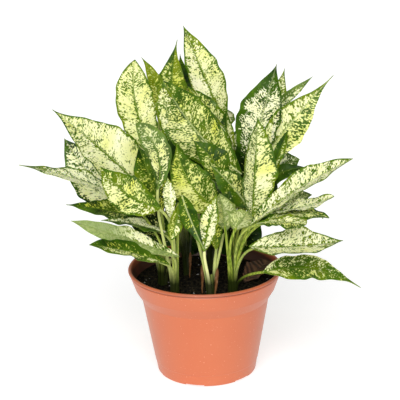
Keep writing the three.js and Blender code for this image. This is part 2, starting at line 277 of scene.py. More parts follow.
# %% Pot profile
POT_OUTSIDE = [
    (0, 0), (46.6, 0), (48.6, 1), (50.4, 12), (50.9, 12.6), (62.2, 76.8), (63.5, 78.9), (68.4, 87),
    (73.4, 101.6), (72.7, 103.3), (74.8, 104.2), (75, 105.4), (73.8, 106.7),
]  # fmt: skip
POT_INSIDE = [
    (72, 106.2), (70.6, 99), (68.2, 91.6), (66.9, 86.6), (60.9, 76.6), (49.5, 13.4), (47.9, 6),
    (46.6, 3), (0, 3),
]  # fmt: skip
POT_TURNS = 180
CORNER_RADIUS, CORNER_STEPS = 0.6, 4
LARGEST_CUT = 0.4  # of the shorter side at a corner


def rounded(profile):
    """The profile with each corner cut back and replaced by a small curve."""
    corners = np.array(profile, float)
    out = [corners[0]]
    for before, corner, after in zip(corners, corners[1:], corners[2:]):
        into, onward = before - corner, after - corner
        sides = np.linalg.norm(into), np.linalg.norm(onward)
        cut = min(CORNER_RADIUS, LARGEST_CUT * sides[0], LARGEST_CUT * sides[1])
        first, last = corner + unit(into) * cut, corner + unit(onward) * cut
        for step in range(CORNER_STEPS + 1):
            t = step / CORNER_STEPS
            out.append((1 - t) ** 2 * first + 2 * t * (1 - t) * corner + t * t * last)
    return np.array([*out, corners[-1]])


def turned(profile, turns):
    """A closed turned skin, from a profile that starts and ends on the axis."""
    middle = profile[1:-1]
    angles = np.arange(turns) * 2 * math.pi / turns
    around = np.stack([np.cos(angles), np.sin(angles)], -1)
    rings = [np.column_stack([around * radius, np.full(turns, height)]) for radius, height in middle]
    points = np.vstack([*rings, [(0, 0, profile[0][1])], [(0, 0, profile[-1][1])]])
    faces = band_faces(len(middle), turns)
    first_pole, last_pole, last_ring = len(points) - 2, len(points) - 1, (len(middle) - 1) * turns
    for turn in range(turns):
        after = (turn + 1) % turns
        faces.append((first_pole, after, turn))
        faces.append((last_pole, last_ring + turn, last_ring + after))
    return points, faces


pot_profile = rounded(POT_OUTSIDE + POT_INSIDE)
print("points of the rounded profile:", len(pot_profile))

# %% [markdown]
# ## The pot's plastic
#
# Polypropylene has a soft waxy gloss. It lets a little light in, which the eye reads as a warm
# glow rather than as paint. The moulding leaves it even, so the colour only drifts slowly over
# the wall, and dust and scuffs show as fine pale specks. They would be under half a
# millimetre, which is too fine for the picture, so they are drawn about a millimetre across,
# and so is the grain of the plastic's skin. Shade is painted into it where the mesh says so.

# %% Terracotta-coloured polypropylene
PLASTIC, PLASTIC_WARM, PLASTIC_SPECK = linear("#BF613A"), linear("#C56D46"), linear("#E8AC90")
# Painted shade: the first colour darkens the inside of the pot under the leaves, the second the groove
# under the lip and the lip's front.
INNER_SHADE, OUTER_SHADE = linear("#3A2118"), linear("#6E3420")
DRIFT_MM, SPECK_MM, GRAIN_MM = 60.0, 1.6, 0.8
SPECK_SPAN, SPECK_SHARE = (0.7, 0.78), 0.5
# Painted shade inside the pot: the span of the drift it follows, and how dark it gets.
INNER_SHADE_SPAN, INNER_SHADE_SHARE = (0.1, 0.45), 0.93
GRAIN_STRENGTH, GRAIN_DEPTH = 0.08, 0.2

glow = {"Subsurface Weight": 0.12, "Subsurface Radius": (0.004, 0.0015, 0.0008)}
gloss = {"Roughness": 0.42, "IOR": 1.49, "Coat Weight": 0.15, "Coat Roughness": 0.3}
polypropylene, tree, shader = new_finish("terracotta_polypropylene", {**gloss, **glow})
where = place_in_piece(tree)
drift = noise(tree, where, DRIFT_MM * MM, 2.0)
specks = noise(tree, where, SPECK_MM * MM, 1.0)
moulded = blend_colours(tree, drift, PLASTIC, PLASTIC_WARM)
speck_share = remap(tree, specks, SPECK_SPAN, (0.0, SPECK_SHARE))
dusted = blend_colours(tree, speck_share, moulded, PLASTIC_SPECK)
# Painted shade in the groove under the lip and on the lip's front.
outer_shaded = blend_colours(tree, from_mesh(tree, "outer_shade"), dusted, OUTER_SHADE)
# Painted shade inside the pot, made uneven by the drift of the colour.
uneven = calculate(tree, "MULTIPLY", from_mesh(tree, "inner_shade"), drift)
inner_shade_share = remap(tree, uneven, INNER_SHADE_SPAN, (0.0, INNER_SHADE_SHARE))
paint(tree, shader, blend_colours(tree, inner_shade_share, outer_shaded, INNER_SHADE))
add_bump(tree, shader, noise(tree, where, GRAIN_MM * MM, 2.0), GRAIN_STRENGTH, GRAIN_DEPTH)
print("nodes in the plastic:", len(tree.nodes))

# %% [markdown]
# ## Drain notches and slots
#
# The foot has six shallow notches, so that the pot drains on a flat shelf, with a slot through
# the floor beside each. They are cut from the turned skin by one Boolean with a single mesh of
# twelve boxes, which is quicker and cleaner than twelve cuts.

# %% Pot
NOTCHES, NOTCH_FIRST_ANGLE = 6, 255
NOTCH_BOX, SLOT_BOX = (10, 19, 4), (5, 7, 20)
FOOT_RADIUS, SLOT_INSET = 48, 6

pot_skin = turned(pot_profile, POT_TURNS)
pot = make_piece("nursery_pot", *pot_skin, polypropylene, "terracotta_plastic")
boxes = bmesh.new()
for notch in range(NOTCHES):
    angle = math.radians(NOTCH_FIRST_ANGLE + 360 / NOTCHES * notch)
    for size, radius in ((NOTCH_BOX, FOOT_RADIUS), (SLOT_BOX, FOOT_RADIUS - SLOT_INSET)):
        moved = Matrix.Rotation(angle, 4, "Z") @ Matrix.Translation((radius * MM, 0, 0))
        bmesh.ops.create_cube(boxes, size=MM, matrix=moved @ Matrix.Diagonal((*size, 1)))
cutter = bpy.data.objects.new("cutter", bpy.data.meshes.new("cutter"))
boxes.to_mesh(cutter.data)
boxes.free()
scene.collection.objects.link(cutter)
cut = pot.modifiers.new("drain", "BOOLEAN")
cut.object, cut.operation, cut.solver, cut.use_self = cutter, "DIFFERENCE", "EXACT", True
cut_mesh = bpy.data.meshes.new_from_object(pot.evaluated_get(bpy.context.evaluated_depsgraph_get()))
pot.modifiers.clear()
pot.data = cut_mesh
pot.data.set_sharp_from_angle(angle=SHARP_EDGE)
bpy.data.objects.remove(cutter)
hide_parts("pot")
print("pot faces:", len(pot.data.polygons))

# %% [markdown]
# ## Painted shade on the pot
#
# The inside of the pot lies in the shade of the leaves, so shade is painted on it up to the
# lip, unevenly after the slow drift of the plastic's colour. Shade is painted in the groove
# under the lip as well, and on the lip's front, which faces the camera and gets less light
# than its top. Both could be painted on an image, but they follow the pot's own heights, so a
# formula gives each point of the mesh its share of painted shade, and the plastic reads it there.

# %% Painted shade on the pot
INNER_SHADE_CLEARANCE, INNER_SHADE_TOP, INNER_SHADE_FADE = 0.4, 106.2, 3.0
# Painted shade: where the groove under the lip and the lip's front are darkened, and by how much.
GROOVE_HEIGHT, GROOVE_REACH, GROOVE_SHADE = 103.2, 0.9, 0.75
LIP_FOOT, LIP_FADE, LIP_SHADE = 104.0, 0.8, 0.4
LIP_RADIUS = POT_OUTSIDE[-2][0]

pot_points = np.array([vertex.co for vertex in pot.data.vertices]) / MM
from_axis, height = np.hypot(pot_points[:, 0], pot_points[:, 1]), pot_points[:, 2]
inner_radii, inner_heights = zip(*POT_INSIDE[::-1])
# Painted shade inside the pot, up to the lip, where the leaves keep the light out.
inside = from_axis < np.interp(height, inner_heights, inner_radii) + INNER_SHADE_CLEARANCE
inner_shade = inside * np.clip((INNER_SHADE_TOP - height) / INNER_SHADE_FADE, 0, 1)
# Painted shade in the groove under the lip.
in_groove = ~inside * bell(height - GROOVE_HEIGHT, GROOVE_REACH)
# Painted shade on the lip's front, which faces the camera and gets less light than its top.
front_facing = np.clip(-pot_points[:, 1] / LIP_RADIUS, 0, 1) ** 2
on_lip = ~inside * np.clip((height - LIP_FOOT) / LIP_FADE, 0, 1) * front_facing
outer_shade = np.maximum(in_groove * GROOVE_SHADE, on_lip * LIP_SHADE)
for label, data in (("inner_shade", inner_shade), ("outer_shade", outer_shade)):
    layer = pot.data.attributes.new(label, "FLOAT", "POINT")
    layer.data.foreach_set("value", data.astype(np.float32))
print("points with stain and with grime:", np.count_nonzero(inner_shade > 0.5), np.count_nonzero(outer_shade > 0.2))

# %% [markdown]
# ## Leaves: the form
#
# A leaf of this plant is an oval blade on a long stalk, which runs on under the blade as its
# midrib. Each blade here is a sheet over a curved midrib. Its width follows a formula with a
# round base and a fine tip, its halves fold up a little, its margins wave, and its side veins
# stand out as low ridges. Subdivision could smooth a coarse sheet, but a formula with enough
# sections gives the same smooth sheet and also tells each point how far it is from the midrib,
# the margin and the tip, which the colours need.
#
# Each row gives the shoot, the base and the tip of the blade, its width, the direction of its
# upper face, how far it arches and sways, the fold of its halves in degrees, how finely it
# tapers, and three words: the coats of its left and right half, and the colour of its rib.

# %% Leaf table
LEAVES = [
    # left side
    [1, [-41, 25, 211], [-63, 46, 303], 38, [0.25, -1, 0.15], 0.6, -11, 5, 0.94, "sunny sunny green"],
    [1, [-49, 7, 174], [-141, 8, 265], 58, [0.1, -0.6, 0.8], 6.5, -1.2, 19, 1.9, "light light green"],
    [1, [-71, 16, 152], [-133, 24, 232], 43, [0.2, -1, 0.4], 7.3, -4.6, 5, 1.31, "icy icy pale"],
    [1, [-52, -10, 157], [-131, -10, 176], 32, [0, -0.3, 1], 3, 0, 8, 2, "dark mossy green"],
    [2, [-71, -26, 185], [-171, -28, 222], 36, [0.1, -0.1, 1], 4, 0, 8, 2.2, "white frost pale"],
    [2, [-43, -41, 199], [-61, -33, 261], 27, [0.3, -1, 0.1], 0, 11, 29, 0.8, "silver silver green"],
    [2, [-40, -52, 185], [-93, -64, 230], 34, [0.1, -1, 0.6], 0, -7.2, 5, 1.46, "butter dense green"],
    [2, [-34, -36, 153], [-96, -40, 170], 20, [0, -0.1, 1], 3, 0, 10, 1.7, "dark white green"],
    [2, [-24, -48, 135], [-123, -54, 175], 25, [0.1, -0.5, 1], 2.1, -1, 5, 1.29, "silky veiled green"],
    [2, [-33, -60, 132], [-104, -92, 165], 24, [0, -0.4, 1], 0, 4.5, 12, 1.13, "patchy bog green"],
    [1, [-40, -18, 169], [-60, -16, 234], 32, [0.2, -1, 0.3], 3, 0, 14, 1.4, "mossy mossy green"],
    [1, [-26, -14, 136], [-74, -14, 166], 42, [0.1, -0.7, 1], 3, 0, 12, 1.4, "hollow hollow green"],
    # upper middle
    [5, [-42, 46, 240], [-57, 51, 304], 18, [0.5, -1, 0.2], 1.8, 6.4, 12, 1.94, "olive olive green"],
    [5, [-27, 56, 234], [-22, 64, 318], 33, [-0.1, -1, 0.3], 4.2, -3.5, 15, 2.72, "dense olive green"],
    [5, [-18, 67, 228], [-20, 76, 301], 24, [0.3, -1, 0.2], 3, 0, 18, 1.9, "dark dark green"],
    [7, [-26, 20, 217], [-37, 24, 284], 20, [0.1, -1, 0.3], 3, -1, 12, 1, "cream cream pale"],
    [7, [37, -1, 200], [-36, 24, 287], 50, [-0.45, -1, 0.3], 0, -7, 8, 1, "patchy dense pale"],
    [7, [22, 48, 238], [-16, 56, 333], 38, [0.15, -1, 0.35], 6.8, -1.8, 30, 1.55, "light cream green"],
    [7, [23, 28, 212], [-13, 36, 278], 28, [0.1, -1, 0.3], 3, 3, 14, 1.4, "olive patchy green"],
    [7, [31, 6, 185], [-7, 28, 269], 30, [0.1, -1, 0.3], 3, 0, 14, 1.4, "silver cream green"],
    [7, [25, 16, 200], [24, 22, 258], 22, [-0.3, -1, 0.2], 2, 0, 34, 1.6, "dark cream green"],
    [7, [27, 0, 185], [-9, 4, 233], 30, [0.3, -1, 0.6], 4, 2, 14, 1.6, "dense bog green"],
    [6, [43, -8, 168], [7, -12, 213], 26, [-0.2, -1, 0.6], 4, 2, 12, 1.7, "bog patchy pale"],
    [6, [40, 18, 169], [46, 26, 244], 28, [0, -1, 0.2], 3, 0, 14, 1.4, "hollow hollow pale"],
    [5, [-31, 4, 164], [-31, 2, 236], 38, [0, -1, 0.2], 3, 0, 14, 1.4, "hollow hollow green"],
    [7, [2, 26, 180], [-25, 34, 227], 28, [0.1, -1, 0.3], 3, 0, 12, 1.2, "hollow hollow green"],
    # low on the right
    [4, [41, -54, 146], [128, -60, 152], 42, [0, -0.33, 1], 4.7, 10.2, 19, 1.46, "fresh light green"],
    [4, [54, -60, 122], [144, -68, 108], 36, [0.1, -0.38, 1], 4, -11, 5, 2.66, "lit forest green"],
    # lower middle
    [3, [18, -18, 169], [-24, -24, 239], 39, [0.05, -1, 0.5], 0, -11, 5, 1.88, "golden dense green"],
    [3, [-20, -40, 193], [1, -72, 148], 17, [-0.3, -0.8, 0.6], 5.7, 0.5, 17, 2.81, "bog mossy pale"],
    [3, [-1, -52, 141], [12, -53, 198], 19, [-0.25, -1, 0.3], 3.1, -0.2, 16, 1.6, "light light green"],
    [3, [14, -30, 149], [25, -22, 191], 22, [0, -1, 0.3], 2, 0, 12, 1.6, "hollow hollow green"],
    [4, [20, -43, 158], [15, -43, 195], 24, [0.2, 0.8, 0.3], 2, 0, 12, 1.4, "cream patchy green"],
    [4, [28, -48, 160], [41, -54, 180], 26, [0.2, 0.6, 0.6], 3, 0, 12, 1.3, "cream patchy green"],
    [2, [-31, -46, 173], [-33, -42, 211], 12, [0.1, -1, 0.2], 3, 0, 14, 1.2, "smooth smooth pale"],
    [2, [-24, -44, 184], [-31, -60, 156], 13, [0.3, -1, 0.3], 4, 0, 10, 0.9, "cream golden green"],
    [3, [11, -34, 136], [9, -30, 181], 15, [0, -1, 0.2], 2, 0, 12, 1.2, "olive golden green"],
    [5, [-8, 50, 155], [-18, 50, 98], 40, [0, -1, 0.12], 2.4, 0, 10, 1, "hollow hollow green"],
    [7, [23, 40, 155], [25, 42, 100], 38, [0, -1, 0.15], 2, 0, 10, 1, "hollow hollow green"],
    # right side
    [6, [44, 12, 205], [72, 22, 301], 48, [-0.3, -1, 0.35], 9.8, 2.4, 27, 1.71, "rimmed edged pale"],
    [6, [62, 50, 210], [82, 60, 288], 23, [0, -1, 0.2], 3, 0, 14, 1.9, "light light green"],
    [6, [58, 45, 240], [108, 44, 283], 11, [0, -1, 0.4], 4, 0, 18, 1.8, "silver white green"],
    [6, [55, -6, 213], [125, 14, 291], 37, [0.05, -1, 0.4], 7.1, -2, 16, 3.15, "cream streaked pale"],
    [6, [58, -11, 188], [80, -12, 245], 11, [-0.4, -1, 0], 0.3, 0.6, 24, 1, "dark patchy green"],
    [6, [45, -24, 161], [52, -18, 261], 41, [0.5, -1, 0.2], 4.8, -2.5, 30, 1.46, "spotty cream green"],
    [6, [57, 22, 175], [101, 22, 198], 17, [0, -1, 0.8], 5.1, -5.5, 15, 2.09, "dark dark green"],
    [6, [58, 46, 186], [96, 50, 198], 26, [0, -1, 0.6], 4, 0, 12, 1.3, "frost frost green"],
    [4, [43, -46, 164], [139, -34, 223], 33, [-0.3, -0.3, 1], 4.1, -1.3, 21, 1.1, "fresh fresh pale"],
    [6, [65, -4, 166], [104, -2, 178], 24, [0, -0.5, 1], 3, 0, 8, 1.3, "silver silver pale"],
    [4, [50, -32, 174], [121, -40, 189], 20, [0, -0.15, 1], 0, 11, 13, 0.5, "white white green"],
    [4, [56, -54, 171], [115, -62, 175], 22, [0, -0.15, 1], 1.7, -8.9, 5, 1.05, "patchy patchy pale"],
    [4, [48, -62, 171], [92, -84, 177], 18, [0.1, -0.4, 1], 0.3, -2.9, 5, 0.5, "cream patchy pale"],
    [6, [30, 16, 115], [54, 11, 150], 28, [0, -1, 0.3], 3, 0, 12, 1.2, "hollow hollow green"],
    [6, [53, 14, 144], [67, 16, 196], 26, [0, -1, 0.2], 3, 0, 12, 1.4, "hollow hollow green"],
    # back
    [1, [-66, 34, 176], [-132, 74, 190], 44, [0.4, -0.2, 1], 12, 0, 10, 1.7, "cream snow green"],
    [5, [-40, 66, 190], [-78, 134, 210], 46, [0.3, -0.5, 1], 12, 0, 10, 1.7, "snow cream green"],
    [7, [6, 72, 200], [14, 150, 226], 48, [0, -0.6, 1], 12, 0, 12, 1.6, "snow snow green"],
    [7, [34, 66, 190], [78, 128, 206], 46, [-0.3, -0.5, 1], 12, 0, 10, 1.7, "edged cream pale"],
    [6, [72, 62, 168], [118, 108, 160], 42, [-0.4, -0.2, 1], 12, 0, 10, 1.7, "cream snow green"],
    [5, [-54, 48, 147], [-124, 88, 138], 44, [0.2, -0.1, 1], 16, 0, 8, 1.7, "patchy cream green"],
    [5, [-22, 68, 146], [-44, 144, 136], 46, [0.1, -0.2, 1], 16, 0, 8, 1.7, "cream patchy green"],
    [7, [16, 70, 146], [34, 148, 132], 46, [0, -0.2, 1], 16, 0, 8, 1.7, "dark cream green"],
    [6, [58, 44, 140], [122, 76, 126], 42, [-0.2, -0.1, 1], 14, 0, 8, 1.7, "dark dark green"],
    [7, [0, 82, 230], [-4, 116, 286], 38, [0, -1, 0.4], 8, 0, 12, 1.6, "cream cream green"],
]
print("leaves:", len(LEAVES))

# %% [markdown]
# Each coat says how many per cent of the blade are green: in the middle of a half, along the
# margin, along the rib, at the tip and at the base. Then it says, in per cent as well, how
# warm the pale parts and how dark the green parts are, and in millimetres, how wide the
# margin's green band is. A few coats have a painted grey sheen too, a highlight of the glossy
# blade painted into its colour, in one share at the base and one at the tip. The darkest coat
# is painted shade, for leaves deep inside the plant. An image for each leaf could say more,
# but a few numbers suit any leaf's shape.

# %% Coats
COATS = {
    # pale, with little green
    "snow": (9, 100, 97, 60, 50, 18, 32, 2.4),
    "cream": (17, 100, 97, 62, 55, 40, 32, 2.3),
    "light": (8, 100, 97, 52, 38, 24, 30, 1.8),
    "sunny": (14, 100, 97, 50, 60, 45, 25, 2.0),
    "fresh": (18, 95, 90, 55, 45, 12, 30, 2.0),
    "icy": (14, 97, 40, 60, 25, 0, 56, 2.6),
    "smooth": (5, 55, 30, 55, 60, 5, 20, 1.6),
    "white": (10, 50, 40, 50, 35, 5, 35, 2.0),
    "frost": (20, 99, 90, 80, 60, 0, 52, 2.6),
    # flecked all over
    "spotty": (27, 100, 99, 70, 60, 32, 38, 2.8),
    "butter": (27, 97, 97, 70, 90, 50, 36, 2.0),
    "edged": (28, 100, 80, 93, 75, 12, 64, 3.2),
    "rimmed": (34, 100, 80, 95, 85, 12, 68, 7.0),
    "golden": (33, 95, 95, 50, 70, 80, 25, 2.0),
    "patchy": (42, 100, 95, 85, 65, 62, 48, 2.6),
    "streaked": (50, 30, 20, 92, 60, 60, 50, 3.5),
    # mostly green
    "olive": (60, 98, 90, 75, 85, 80, 10, 2.0),
    "dense": (60, 100, 95, 92, 92, 75, 48, 2.4),
    "mossy": (78, 100, 85, 95, 70, 95, 50, 2.0),
    "forest": (80, 97, 95, 92, 45, 72, 40, 3.0),
    "lit": (82, 25, 95, 90, 60, 40, 42, 1.8),
    "dark": (88, 100, 97, 98, 92, 70, 58, 2.5),
    "bog": (88, 100, 92, 98, 80, 95, 58, 2.0),
    # Painted shade: nearly black green, for leaves deep inside the plant.
    "hollow": (92, 100, 100, 100, 98, 60, 85, 2.5),
    # under a painted grey sheen
    "silver": (28, 100, 97, 80, 60, 30, 50, 3.0),
    "silky": (60, 70, 60, 60, 60, 50, 20, 2.0),
    "veiled": (12, 40, 60, 60, 35, 20, 30, 2.0),
}
# Painted sheen, in per cent at the base and at the tip.
PAINTED_SHEEN_SHARES = {
    "smooth": (10, 10),
    "white": (10, 10),
    "frost": (0, 10),
    "silver": (8, 25),
    "silky": (70, 80),
    "veiled": (0, 90),
}
NO_PAINTED_SHEEN = (0, 0)


def coat_of(name):
    """A coat's shares from 0 to 1, with those of its painted sheen, and the width of its band last."""
    *percents, band = COATS[name]
    return np.array([*(share / 100 for share in (*percents, *PAINTED_SHEEN_SHARES.get(name, NO_PAINTED_SHEEN))), band])


print("coats:", len(COATS))

# %% [markdown]
# The sheet of a blade is a grid of points. One way runs from the base to the tip, in sections
# that stand closer together at both ends. The other way runs from margin to margin, in points
# that stand closer together at the midrib. A seed, which is the leaf's number, starts the
# ruffles and scallops of each leaf at another place, so no two margins are alike.

# %% Blade geometry
BASE_FULLNESS, TIP_POINTING, BLADE_END = 0.75, 2.4, 0.008
DRIP_TIP = 1.5  # half the width that the drawn-out tip keeps, in mm
DRIP_FROM, DRIP_OVER = 0.55, 0.3
STATIONS, ACROSS, RIB_CROWDING = 57, 27, 1.2
MID_THICKNESS, MARGIN_THICKNESS = 0.8, 0.4
MARGIN_WAVE, MARGIN_WAVES, WAVE_SHIFT = 1.6, 2.2, 1.4
RUFFLE, RUFFLES, RUFFLE_TURN, RUFFLE_SLANT = 0.6, 5.3, 0.37, 1.3
SCALLOP, SCALLOPS, SCALLOP_TURN, SCALLOP_SHIFT = 0.035, 4.7, 0.61, 0.37
OVERTONE, OVERTONE_PACE = 0.6, 1.7  # a smaller and quicker wave on top of the scallops
FOLD_CURVE = 1.3
VEIN_SPACING, VEIN_RELIEF, RIB_FADE, MARGIN_FADE = 5.0, 0.16, 6, 5
VEIN_OUT, VEIN_ON = 0.82, 0.57  # a side vein's direction, away from the midrib and to the tip
RIB_WIDTH, RIB_HEIGHT, RIB_TAPER = 1.3, 0.9, 0.7
GROOVE, GROOVE_WIDTH = 0.35, 0.9
VEINED_HALF, RIBBED_HALF = 6, 4  # a half this wide carries its veins and its rib in full, in mm


def leaf_form(shoot, base, tip, width, face, bow, sway, fold, taper, words):
    left, right, rib = words.split()
    start, end = np.array(base, float), np.array(tip, float)
    along = unit(end - start)
    up = np.array(face, float)
    up = unit(up - along * (up @ along))
    middle = (start + end) / 2 + up * 2 * bow + np.cross(along, up) * 2 * sway
    return {
        "shoot": shoot, "start": start, "middle": middle, "end": end, "up": up, "width": width,
        "fold": math.radians(fold), "taper": taper, "rib": rib,
        "coats": (coat_of(left), coat_of(right)), "length": np.linalg.norm(end - start),
    }  # fmt: skip


def midrib_frame(form, t):
    t = np.asarray(t, float)[..., None]
    start, middle, end = form["start"], form["middle"], form["end"]
    centre = (1 - t) ** 2 * start + 2 * t * (1 - t) * middle + t**2 * end
    along = unit((1 - t) * (middle - start) + t * (end - middle))
    up = unit(form["up"] - along * (along @ form["up"])[..., None])
    return centre, along, up, np.cross(along, up)


def half_width(form, t):
    def shape(s):
        return s**BASE_FULLNESS * np.clip(1 - s**TIP_POINTING, 0, 1) ** form["taper"]

    widest = (BASE_FULLNESS / (BASE_FULLNESS + TIP_POINTING * form["taper"])) ** (1 / TIP_POINTING)
    drip = DRIP_TIP * np.sqrt(np.clip(1 - t, 0, 1)) * np.clip((t - DRIP_FROM) / DRIP_OVER, 0, 1)
    return form["width"] / 2 * np.maximum(shape(t) / shape(widest), BLADE_END) + drip


def scalloped(half, t, u, seed):
    beat = 2 * math.pi * (SCALLOPS * t + SCALLOP_TURN * seed + np.where(u > 0, SCALLOP_SHIFT, 0))
    scallops = np.sin(beat) + OVERTONE * np.sin(OVERTONE_PACE * beat + 1)
    return half * (1 + SCALLOP * scallops * np.sin(math.pi * t))


def margin_lift(form, t, u, half, share, seed, ruffle):
    """The rise of the sheet over its midrib: its fold, its slow waves and its fine ruffles."""
    fold = half * share**FOLD_CURVE * math.sin(form["fold"])
    wave = np.sin(2 * math.pi * MARGIN_WAVES * t + np.where(u > 0, WAVE_SHIFT, 0))
    waves = MARGIN_WAVE * wave * share**2 * (2 * half / form["width"])
    ruffles = np.sin(2 * math.pi * (RUFFLES * t + RUFFLE_TURN * seed) + RUFFLE_SLANT * u)
    return fold + waves + ruffle * ruffles * share**3 * np.sin(math.pi * t)


def blade_grid(form, seed, relief=VEIN_RELIEF, ruffle=RUFFLE):
    """Points of the upper and the lower face, and what each point knows of its place."""
    even = np.linspace(0, 1, STATIONS)
    t = 0.5 * even + 0.25 * (1 - np.cos(math.pi * even))
    spread = np.linspace(-1, 1, ACROSS)
    u = np.sign(spread) * np.abs(spread) ** RIB_CROWDING
    centre, along, up, side = (a[:, None, :] for a in midrib_frame(form, t))
    half, share, t, u = half_width(form, t)[:, None], np.abs(u)[None, :], t[:, None], u[None, :]
    half = scalloped(half, t, u, seed)
    out_mm, on_mm = half * share, t * form["length"]
    cross_vein = VEIN_ON * -out_mm + VEIN_OUT * on_mm
    fade = np.clip(share * RIB_FADE, 0, 1) * np.clip((1 - share) * MARGIN_FADE, 0, 1)
    fade = fade * np.clip(half / VEINED_HALF, 0, 1)
    veins = relief * np.cos(2 * math.pi * cross_vein / VEIN_SPACING) * fade
    lift = margin_lift(form, t, u, half, share, seed, ruffle) + veins
    surface = centre + side * (half * u * math.cos(form["fold"]))[..., None] + up * lift[..., None]
    thickness = MARGIN_THICKNESS + (MID_THICKNESS - MARGIN_THICKNESS) * (1 - share**2)
    ribbed = np.clip(half / RIBBED_HALF, 0, 1)
    rib = RIB_HEIGHT * bell(out_mm, RIB_WIDTH) * (1 - t) ** RIB_TAPER * ribbed
    groove = GROOVE * bell(out_mm, GROOVE_WIDTH) * ribbed
    upper = surface + up * (thickness / 2 - groove)[..., None]
    lower = surface - up * (thickness / 2 + rib)[..., None]
    place = {
        "t": t + 0 * u, "right": (u > 0) + 0 * t, "out_mm": out_mm, "edge_mm": half * (1 - share),
        "along_vein": VEIN_OUT * out_mm + VEIN_ON * on_mm, "cross_vein": cross_vein,
    }  # fmt: skip
    return upper, lower, place


# %% [markdown]
# ## Leaves: the colours of each point
#
# The cream and green of a variegated leaf are patches of cells with and without green, laid
# down in rows as the leaf unrolls, so the flecks run along the side veins. How much of a spot
# is green changes smoothly over the blade, and a formula gives that share to each point of the
# mesh. The flecks themselves are finer than the mesh. The shader makes them from noise: a spot
# is green where the noise is under a cut that grows with the share.

# %% Shares of green
NOISE_MIDDLE, NOISE_SPREAD = 0.5, 0.064
LEAST_SHARE = 0.004
LOGISTIC_TO_NORMAL = 1.702
RIB_BAND, RIB_BAND_START, RIB_BAND_LOSS = 1.7, 1.2, 0.5
MARGIN_MOTTLE, RIB_MOTTLE, MOTTLE_REACH = 0.25, 0.12, 3.5
RIB_LINE, RIB_LINE_END = 0.6, 1.15
BASE_SPAN, TIP_SPAN, PAINTED_SHEEN_SPAN = (0.03, 0.22), (0.55, 0.92), (0.35, 0.7)
FLECK_STRETCH = 0.52  # the place runs slower along the veins, so a fleck is longer that way
SEED_STEP, HALF_STEP = 37.0, 400.0  # how far apart in the noise two leaves and two halves lie


def ease(span, value):
    s = np.clip((value - span[0]) / (span[1] - span[0]), 0, 1)
    return s * s * (3 - 2 * s)


def noise_cut(share):
    """The height under which about this share of the noise lies."""
    share = np.clip(share, LEAST_SHARE, 1 - LEAST_SHARE)
    return NOISE_MIDDLE + NOISE_SPREAD * np.log(share / (1 - share)) / LOGISTIC_TO_NORMAL


def coat_values(form, place, seed):
    t, out_mm, edge_mm, on_right = (place[key] for key in ("t", "out_mm", "edge_mm", "right"))
    left, right = form["coats"]
    coat = np.where(on_right[..., None] > 0.5, right, left)
    green, margin, rib, tip, base, warm, depth, painted_sheen, tip_painted_sheen, band = np.moveaxis(coat, -1, 0)
    near_rib = bell(out_mm, RIB_BAND * (RIB_BAND_START - RIB_BAND_LOSS * t))
    near_tip, near_base = ease(TIP_SPAN, t), 1 - ease(BASE_SPAN, t)
    near_edge = np.exp(-((edge_mm / band) ** 4))
    margin = margin + (1 - margin) * near_tip
    share = green + MARGIN_MOTTLE * np.exp(-edge_mm / MOTTLE_REACH)
    share = share + RIB_MOTTLE * np.exp(-out_mm / MOTTLE_REACH)
    for reach, level in ((near_rib, rib), (near_base, base), (near_tip, tip), (near_edge, margin)):
        share = share + (level - share) * reach
    line = bell(out_mm, RIB_LINE) * np.clip(RIB_LINE_END - t, 0, 1)
    pale_rib = np.full_like(line, form["rib"] == "pale")
    away = SEED_STEP * seed + HALF_STEP * on_right
    spot = np.stack([place["along_vein"] * FLECK_STRETCH, place["cross_vein"], away], -1)
    painted_sheen = painted_sheen + (tip_painted_sheen - painted_sheen) * ease(PAINTED_SHEEN_SPAN, t)
    return spot, noise_cut(share), np.stack([warm, depth, painted_sheen], -1), np.stack([line, pale_rib], -1)


# %% [markdown]
# ## Leaves: the finish
#
# A living leaf has a waxy skin with an index near 1.45. The upper face is smooth and takes a
# broad sheen, while the lower face is duller, paler and greyer, because air lies between its
# cells. Both are one piece of tissue, so one material serves both and reads from the mesh
# which face it is on. The flecks are one to three millimetres, as on the real leaf.

# %% Speckled leaf
CREAM, BUTTER = linear("#F1F2C8"), linear("#CFD454")
OLIVE, GREEN = linear("#778511"), linear("#45650C")
# SHADE_GREEN, the darkest, serves mostly the painted shade of leaves deep inside the plant.
DEEP_GREEN, SHADE_GREEN = linear("#234006"), linear("#0F1E05")
GREEN_STEP, DEEP_GREEN_STEP = 0.4, 0.75
RIB_PALE, RIB_GREEN = linear("#C4CD8C"), linear("#64821C")
# The first is a painted sheen, the grey highlight of the glossy blade painted into its colour.
PAINTED_SHEEN_GREY, UNDERSIDE = linear("#8F9F62"), linear("#93A062")
FLECK_MM, PATCH_MM, TINT_MM, DENSITY_MM = 1.15, 3.8, 16.0, 12.0
PATCH_SHARE, DENSITY_SWING, TINT_SWING = 0.34, 0.2, 1.6
EDGE_SOFTNESS, UNDER_SHARE = 0.046, 0.52
UPPER_ROUGHNESS, LOWER_ROUGHNESS = 0.36, 0.55
CELL_STRENGTH, CELL_DEPTH = 0.25, 0.4

flesh = {"Subsurface Weight": 0.4, "Subsurface Radius": (0.8, 1.0, 0.35), "Subsurface Scale": 0.002}
wax = {"Roughness": UPPER_ROUGHNESS, "IOR": 1.45, "Specular IOR Level": 0.13}
leaf_tissue, tree, shader = new_finish("speckled_leaf_tissue", {**wax, **flesh})
spot = from_mesh(tree, "spot", "Vector")
warm, dark, painted_sheen = three_from_mesh(tree, "tone")
rib_line, pale_rib, on_lower = three_from_mesh(tree, "lines")

